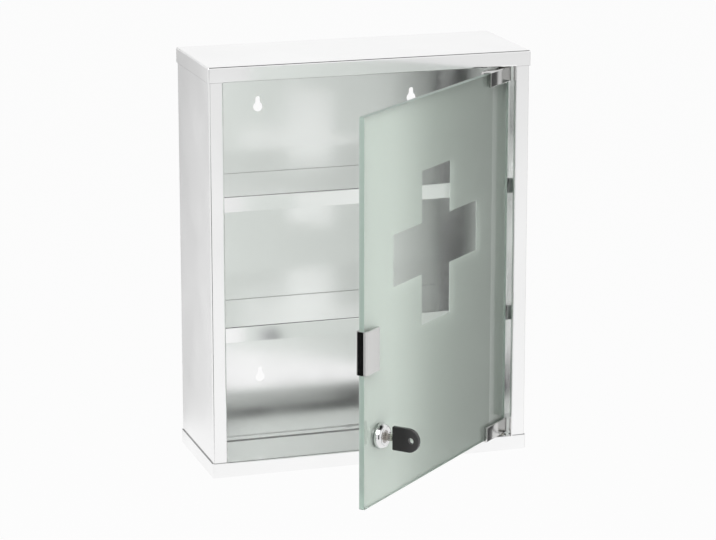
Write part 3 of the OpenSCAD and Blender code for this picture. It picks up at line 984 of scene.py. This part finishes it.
class CABINET_OT_clamps(Step):
    """Mills the hinge clamps, with their liners"""

    bl_idname = "cabinet.clamps"
    bl_label = "Hinge clamps"

    def build(self):
        s = sizes()
        low, high = box("upper_hinge_clamp", ON_DOOR)
        in_low, in_high = box("upper_clamp_liner", ON_DOOR)
        clamp = block("clamp", low, high)
        round_edges(clamp, lambda c, d: abs(d.x) > 0.9, 1 * MM, 4)
        cut(clamp, block(
            "channel", (low.x - s.sheet, in_low.y, low.z - s.sheet),
            (high.x + s.sheet, in_high.y, in_high.z),
        ))
        ends = (in_high.z - s.sheet, high.z + s.sheet)
        pin_hole = 2.52 * MM
        cut(clamp, rod("pin_hole", pin_hole, *ends, at=(PIVOT.x, PIVOT.y), sides=40))
        for x, z in screw_places():
            if z > 0:
                deep = in_high.y - s.sheet
                cut(clamp, screw_cutter(x, z, CLAMP_SCREW + FIT, deep, high.y + s.sheet))
        soften(clamp, s.edge)
        liner = block("liner", in_low, in_high)
        glass_low, glass_high = box("door_glass", ON_DOOR)
        film_high = box("frosted_film", ON_DOOR)[1]
        cut(liner, block(
            "pane", (in_low.x - s.sheet, glass_low.y, in_low.z - s.sheet),
            (in_high.x + s.sheet, film_high.y, glass_high.z),
        ))
        smooth(liner)
        lower_clamp = flip_z(copy_of(clamp, "lower"))
        lower_liner = flip_z(copy_of(liner, "lower"))
        smooth(lower_clamp)
        for obj, name, node in (
            (clamp, "Upper_clamp", "upper_hinge_clamp"),
            (lower_clamp, "Lower_clamp", "lower_hinge_clamp"),
        ):
            level = satin_metal("satin_metal_level", "X")
            mount(obj, level, ON_DOOR, name, "door", "satin_steel", node)
        for obj, name, node in (
            (liner, "Upper_liner", "upper_clamp_liner"),
            (lower_liner, "Lower_liner", "lower_clamp_liner"),
        ):
            mount(obj, liner_sheet(), ON_DOOR, name, "door", "liner_rubber", node)


def screw_places():
    """(x, z) of each clamping screw on the closed door."""
    low, high = box("clamp_screws", ON_DOOR)
    r = CLAMP_SCREW
    return [(x, z) for x in (low.x + r, high.x - r) for z in (low.z + r, high.z - r)]


def grub_screw(name, radius, length):
    """A headless screw standing on the origin, with a hex socket and rings for its thread."""
    edge = 0.3 * MM
    pitch = 0.7 * MM
    depth = 0.2 * MM
    outline = [(0, 0), (radius - edge, 0)]
    turns = int((length - 2 * edge) / pitch)
    for i in range(turns):
        z = edge + i * pitch
        outline += [(radius, z), (radius, z + pitch * 0.45), (radius - depth, z + pitch * 0.75)]
    outline += [(radius, length - edge), (radius - edge, length), (0, length)]
    screw = lathe(name, outline, 40)
    socket = rod("socket", radius * 0.58, length - 2 * MM, length + MM, sides=6)
    cut(screw, socket)
    smooth(screw)
    return screw


class CABINET_OT_screws(Step):
    """Turns the grub screws of the clamps and the handle"""

    bl_idname = "cabinet.screws"
    bl_label = "Grub screws"

    def build(self):
        low, high = box("clamp_screws", ON_DOOR)
        shape = grub_screw("grub", CLAMP_SCREW, high.y - low.y)
        copies = []
        for x, z in screw_places():
            one = copy_of(shape, "grub_part")
            put(one, Matrix.Translation((x, low.y, z)) @ STAND)
            copies.append(one)
        bpy.data.objects.remove(shape)
        screws = join(*copies)
        low, high = box("handle_screw", ON_DOOR)
        middle = (low + high) / 2
        small = grub_screw("small", (high.x - low.x) / 2, high.y - low.y)
        put(small, Matrix.Translation((middle.x, low.y, middle.z)) @ STAND)
        for obj, name, node in (
            (screws, "Clamp_screws", "clamp_screws"), (small, "Handle_screw", "handle_screw")
        ):
            mount(obj, zinc_plate(), ON_DOOR, name, "door", "plated_steel", node)


class CABINET_OT_pins(Step):
    """Turns the pivot pins"""

    bl_idname = "cabinet.pins"
    bl_label = "Pivot pins"

    def build(self):
        low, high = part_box("upper_pivot_pin")
        radius = (high.x - low.x) / 2
        tip = 0.5 * MM
        foot = 0.1 * MM
        pin = lathe("pin", [
            (0, low.z), (radius - foot, low.z), (radius, low.z + foot),
            (radius, high.z - tip), (radius - tip, high.z), (0, high.z),
        ], 48)
        put(pin, Matrix.Translation((PIVOT.x, PIVOT.y, 0)))
        lower = flip_z(copy_of(pin, "lower"))
        smooth(lower)
        for obj, name, node in (
            (pin, "Upper_pin", "upper_pivot_pin"), (lower, "Lower_pin", "lower_pivot_pin")
        ):
            paint(obj, zinc_plate())
            finish(obj, name, "door", "plated_steel", node)


class CABINET_OT_handle(Step):
    """Folds the handle clip round the glass's edge, with its liner"""

    bl_idname = "cabinet.handle"
    bl_label = "Handle"

    def build(self):
        s = sizes()
        low, high = box("handle_clip", ON_DOOR)
        in_low, in_high = box("handle_liner", ON_DOOR)
        rear = 16 * MM
        clip = block("clip", low, high)
        cut(
            clip,
            block("behind", (low.x + rear, in_low.y + s.sheet, low.z - s.sheet),
                  (high.x + s.sheet, high.y + s.sheet, high.z + s.sheet)),
            block("channel", (in_low.x, in_low.y, low.z - s.sheet),
                  (high.x + s.sheet, in_high.y, high.z + s.sheet)),
        )
        front_bend, rear_bend = 3.6 * MM, 1.8 * MM
        for y, radius in ((low.y, front_bend), (high.y, rear_bend)):
            round_edges(
                clip, lambda c, d: near(c.x, low.x) and near(c.y, y) and abs(d.z) > 0.9,
                radius, 12,
            )
        screw_low, screw_high = box("handle_screw", ON_DOOR)
        at = (screw_low + screw_high) / 2
        hole = 1.52 * MM
        cut(clip, screw_cutter(at.x, at.z, hole, in_high.y - s.sheet, high.y + s.sheet))
        soften(clip, s.edge, angle=40)
        liner = block("liner", in_low, in_high)
        glass_low = box("door_glass", ON_DOOR)[0]
        film_high = box("frosted_film", ON_DOOR)[1]
        cut(liner, block(
            "pane", (glass_low.x, glass_low.y, in_low.z - s.sheet),
            (in_high.x + s.sheet, film_high.y, in_high.z + s.sheet),
        ))
        upright = satin_metal("satin_metal_upright", "Z")
        mount(clip, upright, ON_DOOR, "Handle_clip", "door", "satin_steel", "handle_clip")
        mount(
            liner, liner_sheet(), ON_DOOR, "Handle_liner", "door", "liner_rubber",
            "handle_liner",
        )


# ---------- lock ----------


class CABINET_OT_lock(Step):
    """Turns the lock's collar and threaded barrel, its gasket, washer and nut"""

    bl_idname = "cabinet.lock"
    bl_label = "Lock body"

    def build(self):
        low, high = box("lock_housing", ON_LOCK)
        gasket_low, gasket_high = box("lock_gasket", ON_LOCK)
        washer_low, washer_high = box("lock_washer", ON_LOCK)
        nut_low, nut_high = box("lock_nut", ON_LOCK)
        plug_high = box("lock_plug", ON_LOCK)[1]
        r = high.x
        top = high.z
        barrel = 8 * MM
        bore = plug_high.x + 0.05 * MM
        inner = bore - 0.4 * MM
        dome, rim, dish = 2.8 * MM, 0.6 * MM, 0.8 * MM
        dome_foot = 1.5 * MM
        seat = gasket_high.z
        pitch = 1.0 * MM
        thread = []
        cut_depth = 0.35 * MM
        z = low.z + 0.4 * MM
        while z < washer_low.z + 3 * MM:
            thread += [
                (barrel - cut_depth, z), (barrel, z + pitch * 0.35), (barrel, z + pitch * 0.65)
            ]
            z += pitch
        swell = []
        for i in range(15):
            rise = math.sin(i * QUARTER / 14)
            inwards = (rise ** 2 + 1 - math.sqrt(1 - min(1.0, rise ** 2))) / 2
            swell.append((r - dome * inwards, dome_foot + (top - dome_foot) * rise))
        mouth = r - dome - rim
        floor = top - 2.25 * MM
        outline = (
            [(inner, low.z), (barrel - 0.5 * MM, low.z)] + thread
            + [(barrel, seat), (r - 0.4 * MM, seat), (r - 0.1 * MM, seat + 0.2 * MM)]
            + swell
            + [(mouth + 0.15 * MM, top), (mouth, top - 0.1 * MM)]
            + [(mouth - dish + 0.1 * MM, top - dish), (bore + 0.2 * MM, top - dish)]
            + [(bore, top - dish - 0.2 * MM), (bore, floor), (inner, floor)]
        )
        housing = lathe("housing", outline, 96)
        loose = barrel + FIT
        edge = 0.1 * MM
        gasket = lathe(
            "gasket", ring_outline(loose, gasket_high.x, gasket_low.z, gasket_high.z, edge), 72
        )
        washer = lathe(
            "washer", ring_outline(loose, washer_high.x, washer_low.z, washer_high.z, edge), 72
        )
        flats = nut_high.y - nut_low.y
        corner = flats / 2 / math.cos(math.pi / 6)
        nut = rod("nut", corner, nut_low.z, nut_high.z, sides=6)
        if nut_high.x - nut_low.x > flats:
            put(nut, Matrix.Rotation(math.pi / 6, 4, "Z"))
        cut(nut, rod("nut_bore", loose, nut_low.z - MM, nut_high.z + MM, sides=72))
        soften(nut, 0.35 * MM, 2, 40)
        plate = made(
            "chrome_plate", metal, colours().chrome, (0.96, 1.03), (0.05, 0.12), scale=220.0
        )
        for obj, name, slot, node, material in (
            (housing, "Lock_housing", "lock_chrome", "lock_housing", plate),
            (gasket, "Lock_gasket", "liner_rubber", "lock_gasket", liner_sheet()),
            (washer, "Lock_washer", "plated_steel", "lock_washer", zinc_plate()),
            (nut, "Lock_nut", "plated_steel", "lock_nut", zinc_plate()),
        ):
            mount(obj, material, ON_LOCK, name, "door", slot, node)


def ring_outline(inner, outer, low, high, edge):
    return [
        (inner, low), (outer - edge, low), (outer, low + edge),
        (outer, high - edge), (outer - edge, high), (inner, high),
    ]


class CABINET_OT_plug(Step):
    """Turns the plug, with its keyway, wafer slots and square tail"""

    bl_idname = "cabinet.plug"
    bl_label = "Plug"

    def build(self):
        low, high = box("lock_plug", ON_LOCK)
        cam_high = box("lock_cam", ON_LOCK)[1]
        r = high.x
        body = r - 0.4 * MM
        shoulder = high.z - 1.6 * MM
        edge = 0.3 * MM
        plug = lathe("plug", [
            (0, cam_high.z), (body, cam_high.z), (body, shoulder), (r, shoulder),
            (r, high.z - edge), (r - edge, high.z), (0, high.z),
        ], 72)
        half = 3 * MM
        tail = block("tail", (-half, -half, low.z), (half, half, cam_high.z + 0.5 * MM))
        keyway = (1.2 * MM, 3.7 * MM)
        keyway_end = -5.6 * MM
        cut(plug, block(
            "keyway", (-keyway[0], -keyway[1], keyway_end), (*keyway, high.z + MM)
        ))
        edit(plug)
        pick(
            plug, "EDGE",
            lambda c, d: near(c.z, high.z, 0.01 * MM) and abs(c.x) < 1.3 * MM
            and abs(c.y) < 3.8 * MM and (abs(d.x) > 0.99 or abs(d.y) > 0.99),
        )
        bpy.ops.mesh.bevel(offset=0.25 * MM, segments=2, affect="EDGES")
        done()
        wide, gap = 2.7 * MM, 0.55 * MM
        for z in wafer_heights():
            cut(plug, block(
                "wafer_slot", (-wide, -8 * MM, z - gap), (wide, 8 * MM, z + gap)
            ))
        modify(plug, "BOOLEAN", operation="UNION", solver="EXACT", object=tail)
        bpy.data.objects.remove(tail)
        bore, bore_end = 2.02 * MM, -6.75 * MM
        cut(plug, rod("screw_bore", bore, low.z - MM, bore_end, sides=40))
        smooth(plug)
        nickel = made(
            "plug_nickel", metal, colours().plug, (0.92, 1.06), (0.22, 0.32), 4 * MICRON,
            scale=500.0,
        )
        mount(plug, nickel, ON_LOCK, "Lock_plug", "lock_barrel", "lock_chrome", "lock_plug")


def wafer_heights():
    """Where the wafers stand along the lock's axis."""
    low, high = box("lock_wafers", ON_LOCK)
    count = 4
    thick = 0.9 * MM
    pitch = (high.z - low.z - thick) / (count - 1)
    return [low.z + 0.45 * MM + i * pitch for i in range(count)]


class CABINET_OT_cam(Step):
    """Stamps the cam, and turns its washer and screw"""

    bl_idname = "cabinet.cam"
    bl_label = "Cam"

    def build(self):
        low, high = box("lock_cam", ON_LOCK)
        washer_low, washer_high = box("cam_washer", ON_LOCK)
        screw_low, screw_high = box("cam_screw", ON_LOCK)
        cam = block("cam", low, high)
        round_edges(cam, lambda c, d: abs(d.z) > 0.9, high.x * 0.98, 14)
        square = 3.02 * MM
        cut(cam, block(
            "square", (-square, -square, low.z - MM), (square, square, high.z + MM)
        ))
        soften(cam, 0.3 * MM, 2, 40)
        washer = lathe("washer", ring_outline(
            2.02 * MM, washer_high.x, washer_low.z, washer_high.z, 0.1 * MM
        ), 48)
        head_r = screw_high.x
        head_top = washer_low.z
        rise = 1.2 * MM
        turns = (i * QUARTER / 6 for i in range(6))
        dome = [
            (head_r * math.cos(a), screw_low.z + rise - rise * math.sin(a)) for a in turns
        ]
        shank = 2 * MM
        screw = lathe(
            "screw",
            [(0, screw_high.z), (shank, screw_high.z), (shank, head_top), (head_r, head_top)]
            + dome + [(0.4 * MM, screw_low.z), (0, screw_low.z)],
            48,
        )
        for wide, thin in ((0.5 * MM, 2.4 * MM), (2.4 * MM, 0.5 * MM)):
            cut(screw, block(
                "recess", (-wide, -thin, screw_low.z - MM), (wide, thin, screw_low.z + rise)
            ))
        smooth(screw)
        for obj, name, node in (
            (cam, "Lock_cam", "lock_cam"), (washer, "Cam_washer", "cam_washer"),
            (screw, "Cam_screw", "cam_screw"),
        ):
            mount(obj, zinc_plate(), ON_LOCK, name, "lock_barrel", "plated_steel", node)


# ---------- key ----------


class CABINET_OT_key(Step):
    """Cuts the key's blade, with its notches and milled groove, and moulds its head"""

    bl_idname = "cabinet.key"
    bl_label = "Key"

    def build(self):
        low, high = box("key_blade", ON_LOCK)
        head_low, head_high = box("key_head", ON_LOCK)
        blade = block("blade", low, high)
        round_edges(blade, lambda c, d: near(c.z, low.z) and abs(d.x) > 0.9, 1.5 * MM, 3)
        notch, notch_out = 0.9 * MM, 0.27 * MM
        ends = (low.x - MM, high.x + MM)
        for z in wafer_heights():
            for side in (-1, 1):
                y = side * (high.y + notch_out)
                cut(blade, rod("notch", notch, *ends, "X", (y, z), sides=16))
        deep, half, off, extra = 0.35 * MM, 0.3 * MM, 0.9 * MM, 0.5 * MM
        for side in (-1, 1):
            face = side * high.x
            a, b = sorted((face - side * deep, face + side * MM))
            cut(blade, block("groove", (a, -half - off * side, low.z - MM),
                             (b, half - off * side + extra, head_low.z + 2 * MM)))
        soften(blade, 0.12 * MM, 1, 40)
        nickel = made(
            "nickel_plate", metal, colours().nickel, (0.88, 1.06), (0.14, 0.3), 5 * MICRON,
            stretch=grain("Y", 1500, 60), turn=-DOOR_ANGLE,
        )
        mount(blade, nickel, ON_LOCK, "Key_blade", "key", "key_nickel", "key_blade")

        r = head_high.y
        centre = head_high.z - r
        head = rod("head", r, head_low.x, head_high.x, "X", (0, centre), sides=72)
        edit(head)
        bpy.ops.mesh.select_all(action="SELECT")
        bpy.ops.mesh.bisect(
            plane_co=(0, 0, centre), plane_no=(0, 0, 1), use_fill=True, clear_inner=True
        )
        pick(head, "FACE", lambda c, n: abs(n.z) > 0.9 and near(c.z, centre))
        bpy.ops.mesh.extrude_region_move(
            TRANSFORM_OT_translate={"value": (0, 0, head_low.z - centre)}
        )
        done()
        clean(head)
        round_edges(
            head,
            lambda c, d: near(c.z, head_low.z) and near(abs(c.y), r) and abs(d.x) > 0.9,
            1.2 * MM, 5,
        )
        round_edges(
            head, lambda c, d: near(abs(c.x), head_high.x) and abs(d.x) < 0.1, 0.7 * MM, 4
        )
        hole = 2.75 * MM
        hole_z = centre + 3 * MM
        cut(head, rod("hole", hole, head_low.x - MM, head_high.x + MM, "X", (0, hole_z), sides=40))
        round_edges(
            head,
            lambda c, d: near(math.hypot(c.y, c.z - hole_z), hole, 0.05 * MM) and abs(d.x) < 0.1,
            0.3 * MM, 2,
        )
        cut(head, block("blade_slot", (low.x - FIT, low.y - FIT, head_low.z - MM),
                        (high.x + FIT, high.y + FIT, high.z + FIT)))
        smooth(head)
        plastic = made("key_plastic", moulded, colours().key, 0.3, 320.0, 8 * MICRON, 0.35)
        mount(head, plastic, ON_LOCK, "Key_head", "key", "key_plastic", "key_head")


class CABINET_OT_wafers(Step):
    """Gives the wafers that stay as they are their brass"""

    bl_idname = "cabinet.wafers"
    bl_label = "Wafers"

    def build(self):
        wafers = frame["nodes"]["lock_wafers"]
        paint(wafers, made(
            "stamped_brass", metal, colours().brass, (0.85, 1.1), (0.2, 0.34), scale=900.0
        ))


# ---------- stage ----------


class CABINET_OT_stage(Step):
    """Sets the floor, the world, the lamps and the camera"""

    bl_idname = "cabinet.stage"
    bl_label = "Stage"

    def build(self):
        self.floor()
        self.world()
        self.cards()
        self.lamps()
        self.camera()
        scene = bpy.context.scene
        scene.view_settings.view_transform = "Standard"

    def floor(self):
        """A pale floor: plain white to the camera, and greyer far off where metal mirrors it."""
        start()
        bpy.ops.mesh.primitive_plane_add(size=60, location=(0, 0, -0.9))
        floor = bpy.context.object
        floor.name = "Floor"
        surface = Surface("pale_floor").set(Base_Color=(0.95, 0.95, 0.95), Roughness=0.9)
        white, glossy = surface.plain_white()
        where = surface.node("ShaderNodeTexCoord")
        reach = surface.node("ShaderNodeVectorMath", operation="DISTANCE")
        reach.inputs[1].default_value = (-0.6, 0, 0)
        surface.link(where.outputs["Object"], reach.inputs[0])
        near_by, far_off, far_grey = 3.0, 6.6, 0.82
        grey = surface.spread(reach.outputs["Value"], near_by, far_off, 1.0, far_grey)
        glow = surface.node("ShaderNodeEmission")
        surface.link(surface.mix_colours(glossy, WHITE, grey), glow.inputs["Color"])
        glow_share = 0.96  # the rest is matt and keeps the cabinet's shadow
        surface.mix_in(
            surface.arithmetic("MULTIPLY", white, glow_share), glow.outputs["Emission"]
        )
        surface.material.cycles.emission_sampling = "NONE"
        paint(floor, surface.material)

    def world(self):
        """Even light for matt surfaces; metal sees a white horizon that darkens overhead."""
        world = bpy.data.worlds.new("Studio")
        bpy.context.scene.world = world
        world.use_nodes = True
        sky = Tree(world.node_tree)
        white, glossy = sky.plain_white()
        where = sky.node("ShaderNodeTexCoord")
        parts = sky.node("ShaderNodeSeparateXYZ")
        sky.link(where.outputs["Generated"], parts.inputs["Vector"])
        horizon, overhead = 0.97, 0.02
        dim_from, dim_to = 0.7, 0.92
        mirrored = sky.spread(parts.outputs["Z"], dim_from, dim_to, horizon, overhead)
        seen = sky.mix_colours(glossy, WHITE, mirrored)
        even = (0.2, 0.2, 0.2, 1)
        background = sky.tree.nodes["Background"]
        sky.link(sky.mix_colours(white, even, seen), background.inputs["Color"])

    def card(self, name, place, width, height):
        """A card that only shows in metal and glass; returns its surface and its glow."""
        start()
        bpy.ops.mesh.primitive_plane_add(size=1)
        card = bpy.context.object
        card.name = name
        card.matrix_world = place @ Matrix.Diagonal((width, height, 1, 1))
        surface = Surface(name.lower())
        glow = surface.node("ShaderNodeEmission")
        surface.show(glow.outputs["Emission"])
        surface.material.cycles.emission_sampling = "NONE"
        paint(card, surface.material)
        card.visible_camera = card.visible_diffuse = card.visible_shadow = False
        card.visible_transmission = name == "Front_card"
        return surface, glow

    def cards(self):
        """Cards that metal and glass mirror, as a studio sets them to draw their edges."""
        for name, spot, target, width, height, grey in (
            ("Handle_card", (-0.302, -0.375, -0.1), (-0.068, -0.3, -0.03), 0.16, 0.3, 0.01),
            ("Rear_card", (-0.2, 2.3, -0.1), (-0.02, -0.15, -0.1), 1.0, 1.7, 0.2),
            ("Front_card", (-0.68, -2.3, -0.05), (-0.068, -0.15, -0.05), 0.55, 1.6, 0.01),
        ):
            aim = Vector(target) - Vector(spot)
            turn = aim.to_track_quat("Z", "Y").to_matrix().to_4x4()
            glow = self.card(name, Matrix.Translation(spot) @ turn, width, height)[1]
            glow.inputs["Color"].default_value = (grey, grey, grey, 1)
        upright = Matrix.Rotation(QUARTER, 4, "Z") @ Matrix.Rotation(QUARTER, 4, "X")
        place = Matrix.Translation((0.9, 0, -0.2)) @ upright
        surface, glow = self.card("Door_card", place, width=0.3, height=0.62)
        where = surface.node("ShaderNodeTexCoord")
        parts = surface.node("ShaderNodeSeparateXYZ")
        surface.link(where.outputs["Object"], parts.inputs["Vector"])
        # Both places are shares of the card's width, which runs from -0.5 to 0.5.
        light_end, dark_start, dark = -0.1, 0.08, 0.06
        fade = surface.spread(parts.outputs["X"], light_end, dark_start, 1.0, dark)
        surface.link(fade, glow.inputs["Color"])

    def lamp(self, name, width, power):
        start()
        bpy.ops.object.light_add(type="AREA")
        lamp = bpy.context.object
        lamp.name = name
        lamp.data.size = width
        lamp.data.energy = power
        return lamp

    def lamps(self):
        """A large lamp, a weak one opposite it, and two that only light matt surfaces."""
        for name, place, width, power in (
            ("Key_lamp", (-1.6, -2.2, 2.4), 2.4, 60),
            ("Fill_lamp", (2.2, -1.8, 1.2), 2.0, 1.0),
            ("Side_lamp", (-1.8, -0.12, 0.45), 0.3, 30.5),
        ):
            lamp = self.lamp(name, width, power)
            lamp.location = place
            aim = Vector((0, -0.1, 0)) - lamp.location
            lamp.rotation_euler = aim.to_track_quat("-Z", "Y").to_euler()
            if name == "Side_lamp":
                self.light_matt_only(lamp)
        # A tall strip close before the door's free edge, which lights its frost from there.
        strip = self.lamp("Edge_lamp", width=0.12, power=0.38)
        strip.data.shape = "RECTANGLE"
        strip.data.size_y = 0.7
        turn = Matrix.Rotation(QUARTER, 4, "X")
        strip.matrix_world = ON_DOOR @ Matrix.Translation((-0.118, -0.24, 0.05)) @ turn
        strip.visible_camera = strip.visible_transmission = False
        self.light_matt_only(strip)

    def light_matt_only(self, lamp):
        """Metal does not mirror the lamp, so that only its direct light needs to be sampled."""
        lamp.visible_glossy = False
        lamp.data.cycles.use_multiple_importance_sampling = False

    def camera(self):
        start()
        bpy.ops.object.camera_add(
            location=(-0.8252, -2.6835, 0.6769), rotation=(1.3227649, 0, -0.3064692)
        )
        camera = bpy.context.object
        camera.name = "Camera"
        camera.data.sensor_width = 36
        camera.data.lens = 145.56
        camera.data.clip_end = 100
        bpy.context.scene.camera = camera


# ---------- panel and registration ----------

STEPS = (
    CABINET_OT_stage,
    CABINET_OT_wrap,
    CABINET_OT_caps,
    CABINET_OT_shelves,
    CABINET_OT_bushes,
    CABINET_OT_glass,
    CABINET_OT_film,
    CABINET_OT_bumpers,
    CABINET_OT_clamps,
    CABINET_OT_screws,
    CABINET_OT_pins,
    CABINET_OT_handle,
    CABINET_OT_lock,
    CABINET_OT_plug,
    CABINET_OT_cam,
    CABINET_OT_wafers,
    CABINET_OT_key,
)


class CABINET_PT_panel(bpy.types.Panel):
    """The steps that build the cabinet, with its sizes and colours"""

    bl_label = "Medicine cabinet"
    bl_idname = "CABINET_PT_panel"
    bl_space_type = "VIEW_3D"
    bl_region_type = "UI"
    bl_category = "Cabinet"

    def draw(self, context):
        for step in STEPS:
            self.layout.operator(step.bl_idname)
        for group in (context.scene.cabinet_sizes, context.scene.cabinet_colours):
            for name in group.__annotations__:
                self.layout.prop(group, name)


CLASSES = (CabinetSizes, CabinetColours, *STEPS, CABINET_PT_panel)


def register():
    for one in CLASSES:
        bpy.utils.register_class(one)
    bpy.types.Scene.cabinet_sizes = bpy.props.PointerProperty(type=CabinetSizes)
    bpy.types.Scene.cabinet_colours = bpy.props.PointerProperty(type=CabinetColours)


def unregister():
    del bpy.types.Scene.cabinet_sizes
    del bpy.types.Scene.cabinet_colours
    for one in reversed(CLASSES):
        bpy.utils.unregister_class(one)


def main():
    register()
    for step in STEPS:
        group, name = step.bl_idname.split(".")
        getattr(getattr(bpy.ops, group), name)()
    start()


if __name__ == "__main__":
    main()
